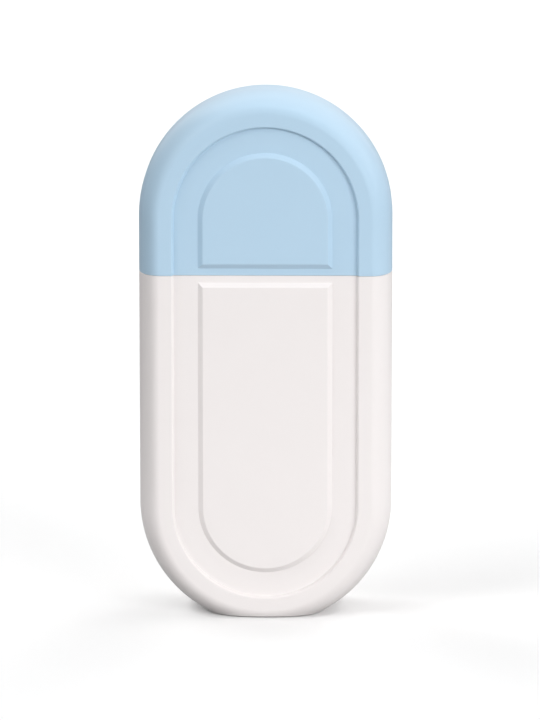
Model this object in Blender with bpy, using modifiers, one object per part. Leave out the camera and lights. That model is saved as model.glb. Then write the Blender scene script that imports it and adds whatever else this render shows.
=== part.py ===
"""Flat stadium-shaped sunscreen bottle with an overcap and a fine-mist pump, modelled in metres, +Z up.

The bottle stands on its base at the origin, its front faces -Y and its width runs along X.
"""

import math

import bmesh
import bpy
from mathutils import Matrix, Vector

# Outer form, shared by the bottle and the overcap
WIDTH = 0.064
THICKNESS = 0.030
ARC_SPAN = 0.0732
BASE_CUT = 0.0034
SEAM_BELOW_ARC = 0.0141
SEAM_GAP = 0.0001
EDGE_ROUND_WIDTH = 0.0055
EDGE_ROUND_DEPTH = 0.0116
RIM_WIDTH = 0.0086
STEP_RUN = 0.0004
RECESS_DEPTH = 0.0009
PANEL_INSET = 0.0151
PANEL_BEVEL = 0.0013
PANEL_RISE = 0.0009
PANEL_SEAM_MARGIN = 0.00175

# Walls of the bottle and the overcap
BOTTLE_WALL = 0.0014
BASE_WALL = 0.0018
DECK_WALL = 0.0016
CAP_WALL = 0.0015
CAP_RIB_WIDTH = 0.0010
CAP_RIB_HEIGHT = 0.0060
CAP_RIB_LEAD = 0.0010
CAP_RIB_GAP = 0.00012
CAP_RIB_SPREAD = 0.0180

# Shoulder sleeve on the deck
SLEEVE_CLEARANCE = 0.0003
SLEEVE_WALL = 0.0012
SLEEVE_FLOOR = 0.0012
SLEEVE_HEIGHT = 0.0085

# Neck finish
NECK_RADIUS = 0.0079
NECK_BORE = 0.0062
NECK_HEIGHT = 0.0133
NECK_LIP_ROUND = 0.0005
LOCK_BEAD_RADIUS = 0.0085
LOCK_BEAD_HEIGHT = 0.0009

# Clearances between pieces
FIT_GAP = 0.0001
RUNNING_GAP = 0.0003
OVERRUN = 0.0010
WELD = 0.000002

# Gasket
GASKET_OVERHANG = 0.0007
GASKET_THICKNESS = 0.0008

# Pump housing
FLANGE_SIDE_GAP = 0.00035
FLANGE_THICKNESS = 0.0010
CHAMBER_RADIUS = 0.0035
CHAMBER_WALL = 0.0010
CHAMBER_DEPTH = 0.0188
CAGE_RADIUS = 0.0020
CAGE_WALL = 0.0011
CAGE_HEIGHT = 0.0024
CAGE_LIP_RADIUS = 0.00145
CAGE_LIP_HEIGHT = 0.0005
SEAT_RADIUS = 0.00105
SEAT_HEIGHT = 0.0011
SEAT_LAND = 0.0010
SOCKET_WALL = 0.0009
SOCKET_DEPTH = 0.0085

# Dip tube
TUBE_RADIUS = 0.0015
TUBE_BORE = 0.0009
TUBE_BASE_GAP = 0.0022
TUBE_SLANT = math.radians(35)

# Turret
TURRET_SIDE_GAP = 0.00055
TURRET_FLANGE_THICKNESS = 0.0010
CHIMNEY_GAP = 0.0008
CHIMNEY_WALL = 0.0010
CHIMNEY_OVERLAP = 0.0010
SPIGOT_LENGTH = 0.0024
SPIGOT_WALL = 0.0006
TURRET_WEB = 0.0012
SNAP_RADIUS_GAP = 0.00015

# Closure
CLOSURE_RADIUS = 0.0102
CLOSURE_SKIRT_WALL = 0.00105
CLOSURE_TOP = 0.0012
CLOSURE_EDGE_ROUND = 0.0006
CLOSURE_FLOOR_GAP = 0.0005
CLOSURE_RIB_COUNT = 30
CLOSURE_RIB_DEPTH = 0.00022
CLOSURE_RIB_MARGIN = 0.0012

# Plunger: stem, piston and valve pin
PRESS_STROKE = 0.0045
STEM_RADIUS = 0.0022
STEM_BORE = 0.0011
STEM_IN_SOCKET = 0.0028
PISTON_HEIGHT = 0.0034
PISTON_LIP = 0.0009
PISTON_WAIST = 0.0004
PIN_FLANGE_RADIUS = 0.0029
PIN_FLANGE_THICKNESS = 0.0011
PIN_SHAFT_RADIUS = 0.00085
PIN_SHAFT_LENGTH = 0.0062
PIN_SPIGOT_RADIUS = 0.0017
PIN_SPIGOT_LENGTH = 0.0020

# Return spring and inlet ball
SPRING_RADIUS = 0.0026
SPRING_WIRE = 0.0005
SPRING_TURNS = 8
BALL_RADIUS = 0.0016

# Actuator and nozzle insert
ACTUATOR_RADIUS = 0.0079
ACTUATOR_WALL = 0.0013
ACTUATOR_BLOCK = 0.0074
ACTUATOR_TOP_ROUND = 0.0012
ROUND_CORNER_SHARE = 0.29
DISH_DEPTH = 0.0011
DISH_RIM = 0.0014
DELIVERY_RADIUS = 0.0006
DELIVERY_RISE = 0.0007
NOZZLE_DROP = 0.0038
NOZZLE_RADIUS = 0.0020
NOZZLE_LENGTH = 0.0036
NOZZLE_SETBACK = 0.0003
NOZZLE_CUP_RADIUS = 0.0012
NOZZLE_FACE = 0.0009
ORIFICE_RADIUS = 0.00022
ORIFICE_CONE_RADIUS = 0.0009
ORIFICE_CONE_DEPTH = 0.0005

# Counts of facets
FORM_SEGMENTS = 72
ROUND_STEPS = 7
CAVITY_ROUND_STEPS = 5
TURN_STEPS = 36
ACTUATOR_STEPS = 44
BARREL_STEPS = 32
SMALL_TURN_STEPS = 24
DISH_STEPS = 6
CURL_POINTS = 10
SMOOTH_ANGLE = math.radians(32)

# Levels worked out from the sizes
RADIUS = WIDTH / 2
HALF_DEPTH = THICKNESS / 2
LOWER_ARC_Z = RADIUS - BASE_CUT
UPPER_ARC_Z = LOWER_ARC_Z + ARC_SPAN
HEIGHT = UPPER_ARC_Z + RADIUS
SEAM_Z = UPPER_ARC_Z - SEAM_BELOW_ARC
CAP_MOUTH_Z = SEAM_Z + SEAM_GAP
RECESS_HALF_DEPTH = HALF_DEPTH - RECESS_DEPTH
GASKET_RADIUS = NECK_RADIUS + GASKET_OVERHANG
CLOSURE_INNER = CLOSURE_RADIUS - CLOSURE_SKIRT_WALL
FLANGE_RADIUS = CLOSURE_INNER - FLANGE_SIDE_GAP
TURRET_FLANGE_RADIUS = CLOSURE_INNER - TURRET_SIDE_GAP
ACTUATOR_INNER = ACTUATOR_RADIUS - ACTUATOR_WALL
CHIMNEY_RADIUS = ACTUATOR_INNER - CHIMNEY_GAP
NECK_TOP_Z = SEAM_Z + NECK_HEIGHT
SLEEVE_FLOOR_Z = SEAM_Z + FIT_GAP
SLEEVE_FLOOR_TOP_Z = SLEEVE_FLOOR_Z + SLEEVE_FLOOR
SLEEVE_TOP_Z = SEAM_Z + SLEEVE_HEIGHT
GASKET_Z = NECK_TOP_Z + FIT_GAP
FLANGE_Z = GASKET_Z + GASKET_THICKNESS + FIT_GAP
FLANGE_TOP_Z = FLANGE_Z + FLANGE_THICKNESS
CHAMBER_FLOOR_Z = FLANGE_TOP_Z - CHAMBER_DEPTH
CHAMBER_OUTER = CHAMBER_RADIUS + CHAMBER_WALL
TURRET_Z = FLANGE_TOP_Z + FIT_GAP
TURRET_FLANGE_TOP_Z = TURRET_Z + TURRET_FLANGE_THICKNESS
CLOSURE_PLATE_Z = TURRET_FLANGE_TOP_Z + FIT_GAP
CLOSURE_TOP_Z = CLOSURE_PLATE_Z + CLOSURE_TOP
CLOSURE_FOOT_Z = SLEEVE_FLOOR_TOP_Z + CLOSURE_FLOOR_GAP
ACTUATOR_FOOT_Z = CLOSURE_TOP_Z + PRESS_STROKE + RUNNING_GAP
CHIMNEY_TOP_Z = ACTUATOR_FOOT_Z + CHIMNEY_OVERLAP
BLOCK_Z = CHIMNEY_TOP_Z + PRESS_STROKE + RUNNING_GAP
ACTUATOR_TOP_Z = BLOCK_Z + ACTUATOR_BLOCK
STEM_TOP_Z = BLOCK_Z + STEM_IN_SOCKET
SOCKET_TOP_Z = STEM_TOP_Z + DELIVERY_RISE + 2 * DELIVERY_RADIUS
NOZZLE_Z = ACTUATOR_TOP_Z - NOZZLE_DROP
SPIGOT_FOOT_Z = TURRET_Z - SPIGOT_LENGTH
PISTON_TOP_Z = SPIGOT_FOOT_Z - RUNNING_GAP
PISTON_Z = PISTON_TOP_Z - PISTON_HEIGHT
STEM_FOOT_Z = PISTON_Z
PIN_FLANGE_TOP_Z = PISTON_Z - FIT_GAP
PIN_FLANGE_Z = PIN_FLANGE_TOP_Z - PIN_FLANGE_THICKNESS
CAGE_FLOOR_Z = CHAMBER_FLOOR_Z - CAGE_LIP_HEIGHT * 2 - CAGE_HEIGHT
SEAT_FOOT_Z = CAGE_FLOOR_Z - SEAT_HEIGHT
SOCKET_ROOF_Z = SEAT_FOOT_Z - SEAT_LAND
SOCKET_FOOT_Z = SOCKET_ROOF_Z - SOCKET_DEPTH
SOCKET_RADIUS = TUBE_RADIUS + FIT_GAP
TUBE_TOP_Z = SOCKET_ROOF_Z - RUNNING_GAP
TUBE_FOOT_Z = BASE_WALL + TUBE_BASE_GAP


def srgb(hex_code):
    """Linear RGBA from an sRGB hex code such as B9D4E8."""
    channels = [int(hex_code[i:i + 2], 16) / 255 for i in (0, 2, 4)]
    linear = [c / 12.92 if c <= 0.04045 else ((c + 0.055) / 1.055) ** 2.4 for c in channels]
    return (*linear, 1)


def principled(name, hex_code, roughness, metallic):
    material = bpy.data.materials.new(name)
    material.use_nodes = True
    shader = material.node_tree.nodes["Principled BSDF"]
    shader.inputs["Base Color"].default_value = srgb(hex_code)
    shader.inputs["Roughness"].default_value = roughness
    shader.inputs["Metallic"].default_value = metallic
    material.diffuse_color = srgb(hex_code)
    return material


def cap_blue():
    return principled("cap_blue", "B9D4E8", 0.45, 0)


def bottle_white():
    return principled("bottle_white", "F1ECEB", 0.45, 0)


def pump_white():
    return principled("pump_white", "F3F2F0", 0.35, 0)


def natural_plastic():
    return principled("natural_plastic", "E6E6E0", 0.3, 0)


def seal_grey():
    return principled("seal_grey", "C9C9C4", 0.6, 0)


def spring_steel():
    return principled("spring_steel", "B8BABC", 0.25, 1)


def new_collection(name):
    collection = bpy.data.collections.new(name)
    bpy.context.scene.collection.children.link(collection)
    return collection


def add_object(name, mesh, material=None):
    """Link a part, or a cutter where no material is given."""
    obj = bpy.data.objects.new(name, mesh)
    if material:
        mesh.materials.clear()
        mesh.materials.append(material)
        mesh.shade_smooth()
        mesh.set_sharp_from_angle(angle=SMOOTH_ANGLE)
        PARTS.objects.link(obj)
    else:
        obj.hide_render = True
        obj.display_type = 'WIRE'
        CUTTERS.objects.link(obj)
    return obj


def to_mesh(bm, name):
    bmesh.ops.recalc_face_normals(bm, faces=bm.faces)
    mesh = bpy.data.meshes.new(name)
    bm.to_mesh(mesh)
    bm.free()
    return mesh


def boolean(obj, other, operation):
    modifier = obj.modifiers.new(other.name, 'BOOLEAN')
    modifier.object = other
    modifier.operation = operation
    modifier.solver = 'EXACT'


def stadium_face(bm, radius):
    """A standing stadium outline round the two arc centres, on the plane y = 0, facing the front."""
    half_step = math.pi / FORM_SEGMENTS
    stand = Matrix.Rotation(math.radians(90), 4, 'X') @ Matrix.Rotation(half_step, 4, 'Z')
    ring = bmesh.ops.create_circle(bm, cap_ends=True, segments=FORM_SEGMENTS,
                                   radius=radius / math.cos(half_step), matrix=stand)
    for vert in ring["verts"]:
        vert.co.z += UPPER_ARC_Z if vert.co.z > 0 else LOWER_ARC_Z
    face = bm.faces[:][-1]
    if face.normal.y > 0:
        face.normal_flip()
    return face


def cut_level(bm, z, keep_above):
    """Cut the mesh flat at the height z, keep one side and close the cut."""
    geometry = bm.verts[:] + bm.edges[:] + bm.faces[:]
    cut = bmesh.ops.bisect_plane(bm, geom=geometry, dist=WELD, plane_co=Vector((0, 0, z)),
                                 plane_no=Vector((0, 0, 1)), clear_inner=keep_above,
                                 clear_outer=not keep_above)
    edges = [e for e in cut["geom_cut"] if isinstance(e, bmesh.types.BMEdge) and e.is_boundary]
    bmesh.ops.holes_fill(bm, edges=edges)


def pillow(radius, half_depth, round_steps, round_width, round_depth):
    """Half of the flat form: a side band, an elliptical edge round and a flat front, open at y = 0."""
    bm = bmesh.new()
    face = stadium_face(bm, radius)
    grown = bmesh.ops.extrude_face_region(bm, geom=[face])
    verts = [v for v in grown["geom"] if isinstance(v, bmesh.types.BMVert)]
    bmesh.ops.translate(bm, verts=verts, vec=(0, round_depth - half_depth, 0))
    front = next(f for f in grown["geom"] if isinstance(f, bmesh.types.BMFace))
    if face.is_valid:
        bmesh.ops.delete(bm, geom=[face], context='FACES_ONLY')
    for i in range(round_steps):
        here = math.pi / 2 * i / round_steps
        there = math.pi / 2 * (i + 1) / round_steps
        inward = round_width * (math.cos(here) - math.cos(there))
        outward = round_depth * (math.sin(there) - math.sin(here))
        inset(bm, front, inward, outward)
    return bm, front


def inset(bm, face, inward, outward):
    bmesh.ops.inset_region(bm, faces=[face], thickness=inward, depth=outward, use_even_offset=True,
                           use_boundary=True)


def mirrored(bm):
    """Mirror the front half across y = 0 and weld it."""
    bmesh.ops.mirror(bm, geom=bm.verts[:] + bm.edges[:] + bm.faces[:], matrix=Matrix(), axis='Y',
                     merge_dist=WELD)


def outer_form():
    """The closed outer form with its recessed band, before it is parted at the seam."""
    bm, front = pillow(RADIUS, HALF_DEPTH, ROUND_STEPS, EDGE_ROUND_WIDTH, EDGE_ROUND_DEPTH)
    bm.normal_update()
    inset(bm, front, RIM_WIDTH - EDGE_ROUND_WIDTH, 0)
    inset(bm, front, STEP_RUN, -RECESS_DEPTH)
    mirrored(bm)
    return bm


def inner_form(offset, depth_offset):
    """A plainer closed form inside the outer one, offset from its outline and from its band's floor."""
    half_depth = RECESS_HALF_DEPTH - depth_offset
    round_depth = EDGE_ROUND_DEPTH - depth_offset - RECESS_DEPTH
    bm, _ = pillow(RADIUS - offset, half_depth, CAVITY_ROUND_STEPS, EDGE_ROUND_WIDTH, round_depth)
    mirrored(bm)
    return bm


def raised_panels(name, z, keep_above):
    """The front and back panels of one piece: bevelled slabs rooted in the wall under the band's floor."""
    bm = bmesh.new()
    face = stadium_face(bm, RADIUS - PANEL_INSET)
    cut_level(bm, z, keep_above)
    face = bm.faces[:][0]
    root = RECESS_HALF_DEPTH - CAP_WALL / 2
    bmesh.ops.translate(bm, verts=bm.verts[:], vec=(0, -root, 0))
    grown = bmesh.ops.extrude_face_region(bm, geom=[face])
    verts = [v for v in grown["geom"] if isinstance(v, bmesh.types.BMVert)]
    bmesh.ops.translate(bm, verts=verts, vec=(0, root - RECESS_HALF_DEPTH, 0))
    front = next(f for f in grown["geom"] if isinstance(f, bmesh.types.BMFace))
    bm.normal_update()
    inset(bm, front, PANEL_BEVEL, PANEL_RISE)
    copy = bmesh.ops.duplicate(bm, geom=bm.verts[:] + bm.edges[:] + bm.faces[:])
    verts = [v for v in copy["geom"] if isinstance(v, bmesh.types.BMVert)]
    bmesh.ops.rotate(bm, verts=verts, cent=(0, 0, 0), matrix=Matrix.Rotation(math.pi, 3, 'Z'))
    return add_object(name, to_mesh(bm, name))


def turned(name, profile, steps, material=None):
    """Turn a profile of (radius, height) points about the Z axis; the outer side runs down.

    A profile that starts and ends on the axis makes a solid, any other is closed into a ring.
    """
    mesh = bpy.data.meshes.new(name)
    count = len(profile)
    edges = [(i, i + 1) for i in range(count - 1)]
    if profile[0][0] or profile[-1][0]:
        edges.append((count - 1, 0))
    mesh.from_pydata([(r, 0, z) for r, z in profile], edges, [])
    obj = add_object(name, mesh, material)
    screw = obj.modifiers.new("turn", 'SCREW')
    screw.steps = steps
    screw.render_steps = steps
    screw.use_merge_vertices = True
    screw.merge_threshold = WELD
    screw.use_smooth_shade = True
    return obj


def rod(name, radius, start, end, steps=SMALL_TURN_STEPS):
    """A plain cylinder between two points, as a cutter."""
    start, end = Vector(start), Vector(end)
    axis = end - start
    bm = bmesh.new()
    place = Matrix.Translation((start + end) / 2) @ axis.to_track_quat('Z', 'Y').to_matrix().to_4x4()
    bmesh.ops.create_cone(bm, cap_ends=True, segments=steps, radius1=radius, radius2=radius,
                          depth=axis.length, matrix=place)
    return add_object(name, to_mesh(bm, name))


def block(name, low, high):
    """An upright box between two corners, as a cutter."""
    low, high = Vector(low), Vector(high)
    bm = bmesh.new()
    size = Matrix.Diagonal((*(high - low), 1))
    bmesh.ops.create_cube(bm, size=1, matrix=Matrix.Translation((low + high) / 2) @ size)
    return add_object(name, to_mesh(bm, name))


def make_bottle():
    """Blow-moulded body: outer form below the seam, hollow, with a deck and a neck."""
    bm = outer_form()
    cut_level(bm, 0, True)
    cut_level(bm, SEAM_Z, False)
    bottle = add_object("bottle", to_mesh(bm, "bottle"), bottle_white())
    boolean(bottle, raised_panels("bottle_panels", SEAM_Z - PANEL_SEAM_MARGIN, False), 'UNION')
    hollow = inner_form(BOTTLE_WALL, BOTTLE_WALL)
    cut_level(hollow, BASE_WALL, True)
    cut_level(hollow, SEAM_Z - DECK_WALL, False)
    boolean(bottle, add_object("bottle_hollow", to_mesh(hollow, "bottle_hollow")), 'DIFFERENCE')
    boolean(bottle, neck_blank(), 'UNION')
    bore = rod("neck_bore", NECK_BORE, (0, 0, SEAM_Z - DECK_WALL - OVERRUN), (0, 0, NECK_TOP_Z + OVERRUN),
               TURN_STEPS)
    boolean(bottle, bore, 'DIFFERENCE')
    return bottle


def neck_blank():
    """Solid neck with a rounded lip and the bead that holds the sleeve down, rooted in the deck."""
    root = SEAM_Z - DECK_WALL / 2
    bead = SLEEVE_FLOOR_TOP_Z + FIT_GAP
    lip = NECK_TOP_Z - NECK_LIP_ROUND
    profile = [(0, NECK_TOP_Z), (NECK_RADIUS - NECK_LIP_ROUND, NECK_TOP_Z), (NECK_RADIUS, lip),
               (NECK_RADIUS, bead + LOCK_BEAD_HEIGHT), (LOCK_BEAD_RADIUS, bead + LOCK_BEAD_HEIGHT / 2),
               (LOCK_BEAD_RADIUS, bead), (NECK_RADIUS, bead), (NECK_RADIUS, root), (0, root)]
    return turned("neck_blank", profile, TURN_STEPS)


def make_overcap():
    """Pale overcap: outer form above the seam, one even shell with grip ribs inside its mouth."""
    bm = outer_form()
    cut_level(bm, CAP_MOUTH_Z, True)
    cap = add_object("overcap", to_mesh(bm, "overcap"), cap_blue())
    boolean(cap, raised_panels("cap_panels", CAP_MOUTH_Z + PANEL_SEAM_MARGIN, True), 'UNION')
    hollow = inner_form(CAP_WALL, CAP_WALL)
    cut_level(hollow, CAP_MOUTH_Z - OVERRUN, True)
    boolean(cap, add_object("cap_hollow", to_mesh(hollow, "cap_hollow")), 'DIFFERENCE')
    inner_depth = RECESS_HALF_DEPTH - CAP_WALL
    rib_depth = SLEEVE_CLEARANCE - CAP_RIB_GAP
    foot = CAP_MOUTH_Z + CAP_RIB_LEAD
    for side in (-1, 1):
        for end in (-1, 1):
            across = end * CAP_RIB_SPREAD / 2
            near = side * (inner_depth - rib_depth)
            far = side * (inner_depth + CAP_WALL / 2)
            low = (across - CAP_RIB_WIDTH / 2, min(near, far), foot)
            high = (across + CAP_RIB_WIDTH / 2, max(near, far), foot + CAP_RIB_HEIGHT)
            boolean(cap, block("cap_rib", low, high), 'UNION')
    return cap


def make_shoulder_sleeve():
    """Oblong ring on the deck: a floor round the neck's root and an upstand that the overcap grips."""
    outer_offset = CAP_WALL + SLEEVE_CLEARANCE
    bm = inner_form(outer_offset, outer_offset)
    cut_level(bm, SLEEVE_FLOOR_Z, True)
    cut_level(bm, SLEEVE_TOP_Z, False)
    sleeve = add_object("shoulder_sleeve", to_mesh(bm, "shoulder_sleeve"), bottle_white())
    hollow = inner_form(outer_offset + SLEEVE_WALL, outer_offset + SLEEVE_WALL)
    cut_level(hollow, SLEEVE_FLOOR_TOP_Z, True)
    cut_level(hollow, SLEEVE_TOP_Z + OVERRUN, False)
    boolean(sleeve, add_object("sleeve_hollow", to_mesh(hollow, "sleeve_hollow")), 'DIFFERENCE')
    hole = rod("sleeve_hole", NECK_RADIUS + RUNNING_GAP, (0, 0, SLEEVE_FLOOR_Z - OVERRUN),
               (0, 0, SLEEVE_FLOOR_TOP_Z + OVERRUN), TURN_STEPS)
    boolean(sleeve, hole, 'DIFFERENCE')
    return sleeve


def make_closure():
    """Screw closure: skirt over the neck, top plate with a hole for the chimney, fine grip ribs."""
    hole = CHIMNEY_RADIUS + RUNNING_GAP
    profile = [(hole, CLOSURE_TOP_Z), (CLOSURE_RADIUS - CLOSURE_EDGE_ROUND, CLOSURE_TOP_Z),
               (CLOSURE_RADIUS, CLOSURE_TOP_Z - CLOSURE_EDGE_ROUND), (CLOSURE_RADIUS, CLOSURE_FOOT_Z),
               (CLOSURE_INNER, CLOSURE_FOOT_Z), (CLOSURE_INNER, CLOSURE_PLATE_Z), (hole, CLOSURE_PLATE_Z)]
    closure = turned("closure", profile, 2 * CLOSURE_RIB_COUNT, pump_white())
    boolean(closure, closure_flutes(), 'DIFFERENCE')
    return closure


def closure_flutes():
    """Shallow upright flutes cut in the skirt, one narrow wedge each, which leave the grip ribs."""
    bm = bmesh.new()
    low = CLOSURE_FOOT_Z + CLOSURE_RIB_MARGIN
    high = CLOSURE_TOP_Z - CLOSURE_RIB_MARGIN
    pitch = 2 * math.pi / CLOSURE_RIB_COUNT
    width = CLOSURE_RADIUS * pitch / 2
    for i in range(CLOSURE_RIB_COUNT):
        turn = Matrix.Rotation(pitch * (i + 1 / 4), 4, 'Z')
        place = Matrix.Translation((CLOSURE_RADIUS + (OVERRUN - CLOSURE_RIB_DEPTH) / 2, 0, (low + high) / 2))
        size = Matrix.Diagonal((OVERRUN + CLOSURE_RIB_DEPTH, width, high - low, 1))
        bmesh.ops.create_cube(bm, size=1, matrix=turn @ place @ size)
    return add_object("closure_flutes", to_mesh(bm, "closure_flutes"))


def make_gasket():
    """Flat ring between the neck's lip and the pump's flange."""
    low, high = GASKET_Z, GASKET_Z + GASKET_THICKNESS
    inner = CHAMBER_OUTER + FIT_GAP
    profile = [(inner, high), (GASKET_RADIUS, high), (GASKET_RADIUS, low), (inner, low)]
    return turned("gasket", profile, TURN_STEPS, seal_grey())


def make_pump_housing():
    """Flange, chamber, ball cage with its seat, and the dip tube's socket, in one turned profile."""
    cage_outer = CAGE_RADIUS + CAGE_WALL
    socket_outer = SOCKET_RADIUS + SOCKET_WALL
    shoulder = CHAMBER_FLOOR_Z - CHAMBER_WALL
    lip_foot = CAGE_FLOOR_Z + CAGE_HEIGHT
    lip_top = lip_foot + CAGE_LIP_HEIGHT
    profile = [
        (CHAMBER_RADIUS, FLANGE_TOP_Z), (FLANGE_RADIUS, FLANGE_TOP_Z), (FLANGE_RADIUS, FLANGE_Z),
        (CHAMBER_OUTER, FLANGE_Z), (CHAMBER_OUTER, shoulder), (cage_outer, shoulder - CHAMBER_WALL),
        (cage_outer, CAGE_FLOOR_Z - SEAT_HEIGHT), (socket_outer, SOCKET_ROOF_Z),
        (socket_outer, SOCKET_FOOT_Z), (SOCKET_RADIUS, SOCKET_FOOT_Z), (SOCKET_RADIUS, SOCKET_ROOF_Z),
        (SEAT_RADIUS, SOCKET_ROOF_Z), (SEAT_RADIUS, SEAT_FOOT_Z), (CAGE_RADIUS, CAGE_FLOOR_Z),
        (CAGE_RADIUS, lip_foot), (CAGE_LIP_RADIUS, lip_foot + CAGE_LIP_HEIGHT / 2),
        (CAGE_LIP_RADIUS, lip_top), (CAGE_RADIUS, CHAMBER_FLOOR_Z), (CHAMBER_RADIUS, CHAMBER_FLOOR_Z)]
    return turned("pump_housing", profile, BARREL_STEPS, natural_plastic())


def make_dip_tube():
    """Straight extruded tube from the socket down to the base, its foot cut at a slant."""
    profile = [(TUBE_BORE, TUBE_TOP_Z), (TUBE_RADIUS, TUBE_TOP_Z), (TUBE_RADIUS, TUBE_FOOT_Z),
               (TUBE_BORE, TUBE_FOOT_Z)]
    tube = turned("dip_tube", profile, SMALL_TURN_STEPS, natural_plastic())
    reach = TUBE_RADIUS + OVERRUN
    low = (-reach, -reach, -reach)
    cutter = block("tube_slant", low, (reach, reach, 0))
    cutter.location = (0, 0, TUBE_FOOT_Z + TUBE_RADIUS * math.tan(TUBE_SLANT))
    cutter.rotation_euler = (0, TUBE_SLANT, 0)
    boolean(tube, cutter, 'DIFFERENCE')
    return tube


def make_turret():
    """Flange under the closure, chimney round the stem, web across it and a spigot in the chamber."""
    guide = STEM_RADIUS + RUNNING_GAP
    spigot = CHAMBER_RADIUS - SNAP_RADIUS_GAP
    shaft = CHIMNEY_RADIUS - CHIMNEY_WALL
    web_top = CLOSURE_TOP_Z
    profile = [
        (shaft, CHIMNEY_TOP_Z), (CHIMNEY_RADIUS, CHIMNEY_TOP_Z), (CHIMNEY_RADIUS, TURRET_FLANGE_TOP_Z),
        (TURRET_FLANGE_RADIUS, TURRET_FLANGE_TOP_Z), (TURRET_FLANGE_RADIUS, TURRET_Z), (spigot, TURRET_Z),
        (spigot, SPIGOT_FOOT_Z), (spigot - SPIGOT_WALL, SPIGOT_FOOT_Z),
        (spigot - SPIGOT_WALL, web_top - TURRET_WEB), (guide, web_top - TURRET_WEB), (guide, web_top),
        (shaft, web_top)]
    return turned("turret", profile, TURN_STEPS, pump_white())


def make_pump_stem():
    """Hollow stem from the piston up into the actuator's socket."""
    profile = [(STEM_BORE, STEM_TOP_Z), (STEM_RADIUS, STEM_TOP_Z), (STEM_RADIUS, STEM_FOOT_Z),
               (STEM_BORE, STEM_FOOT_Z)]
    return turned("pump_stem", profile, SMALL_TURN_STEPS, natural_plastic())


def make_piston():
    """Seal ring on the stem's foot, with a lip above and below a narrower waist."""
    bore = STEM_RADIUS + FIT_GAP
    lip = CHAMBER_RADIUS - FIT_GAP
    waist = lip - PISTON_WAIST
    profile = [
        (bore, PISTON_TOP_Z), (lip, PISTON_TOP_Z), (lip, PISTON_TOP_Z - PISTON_LIP / 2),
        (waist, PISTON_TOP_Z - PISTON_LIP), (waist, PISTON_Z + PISTON_LIP),
        (lip, PISTON_Z + PISTON_LIP / 2), (lip, PISTON_Z), (bore, PISTON_Z)]
    return turned("piston", profile, BARREL_STEPS, natural_plastic())


def make_valve_pin():
    """Pin in the stem's bore, with a flange that the spring pushes up and a spigot inside the spring."""
    shaft_top = PIN_FLANGE_TOP_Z + PIN_SHAFT_LENGTH
    spigot_foot = PIN_FLANGE_Z - PIN_SPIGOT_LENGTH
    profile = [
        (0, shaft_top), (PIN_SHAFT_RADIUS, shaft_top), (PIN_SHAFT_RADIUS, PIN_FLANGE_TOP_Z),
        (PIN_FLANGE_RADIUS, PIN_FLANGE_TOP_Z), (PIN_FLANGE_RADIUS, PIN_FLANGE_Z),
        (PIN_SPIGOT_RADIUS, PIN_FLANGE_Z), (PIN_SPIGOT_RADIUS, spigot_foot), (0, spigot_foot)]
    return turned("valve_pin", profile, SMALL_TURN_STEPS, natural_plastic())


def make_return_spring():
    """Steel spring between the chamber's floor and the pin's flange, one unbroken tube."""
    low = CHAMBER_FLOOR_Z + FIT_GAP + SPRING_WIRE / 2
    high = PIN_FLANGE_Z - FIT_GAP - SPRING_WIRE / 2
    count = SPRING_TURNS * CURL_POINTS + 1
    curve = bpy.data.curves.new("return_spring", 'CURVE')
    curve.dimensions = '3D'
    curve.bevel_depth = SPRING_WIRE / 2
    curve.bevel_resolution = 1
    curve.use_fill_caps = True
    spline = curve.splines.new('POLY')
    spline.points.add(count - 1)
    points = []
    for i in range(count):
        angle = 2 * math.pi * i / CURL_POINTS
        height = low + (high - low) * i / (count - 1)
        points.append(Vector((SPRING_RADIUS * math.cos(angle), SPRING_RADIUS * math.sin(angle), height)))
        spline.points[i].co = (*points[i], 1)
    gap = min((a - b).length for i, a in enumerate(points) for b in points[i + CURL_POINTS // 2:]) - SPRING_WIRE
    print(f"return_spring: least gap between its turns {gap * 1000:.2f} mm")
    guide = bpy.data.objects.new("spring_guide", curve)
    CUTTERS.objects.link(guide)
    bpy.context.view_layer.update()
    mesh = bpy.data.meshes.new_from_object(guide.evaluated_get(bpy.context.evaluated_depsgraph_get()))
    place = guide.matrix_world.copy()
    bpy.data.objects.remove(guide)
    bm = bmesh.new()
    bm.from_mesh(mesh)
    bmesh.ops.remove_doubles(bm, verts=bm.verts[:], dist=WELD)
    bm.to_mesh(mesh)
    bm.free()
    mesh.name = "return_spring"
    spring = add_object("return_spring", mesh, spring_steel())
    spring.matrix_world = place
    return spring


def ball_centre_z():
    """Height at which the ball stands a hair above the cone of its seat."""
    slope = math.atan2(SEAT_HEIGHT, CAGE_RADIUS - SEAT_RADIUS)
    above_foot = (BALL_RADIUS + FIT_GAP) / math.cos(slope) - SEAT_RADIUS * math.tan(slope)
    return SEAT_FOOT_Z + above_foot


def make_inlet_ball():
    """Steel check ball in its cage under the chamber."""
    bm = bmesh.new()
    bmesh.ops.create_uvsphere(bm, u_segments=SMALL_TURN_STEPS, v_segments=SMALL_TURN_STEPS // 2,
                              radius=BALL_RADIUS)
    ball = add_object("inlet_ball", to_mesh(bm, "inlet_ball"), spring_steel())
    ball.location = (0, 0, ball_centre_z())
    return ball


def dish_profile():
    """The actuator's dished top, from the axis out to the rim."""
    reach = ACTUATOR_RADIUS - DISH_RIM
    sphere = (reach ** 2 + DISH_DEPTH ** 2) / (2 * DISH_DEPTH)
    centre = ACTUATOR_TOP_Z - DISH_DEPTH + sphere
    points = []
    for i in range(DISH_STEPS + 1):
        r = reach * i / DISH_STEPS
        points.append((r, centre - math.sqrt(sphere ** 2 - r ** 2)))
    return points


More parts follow.
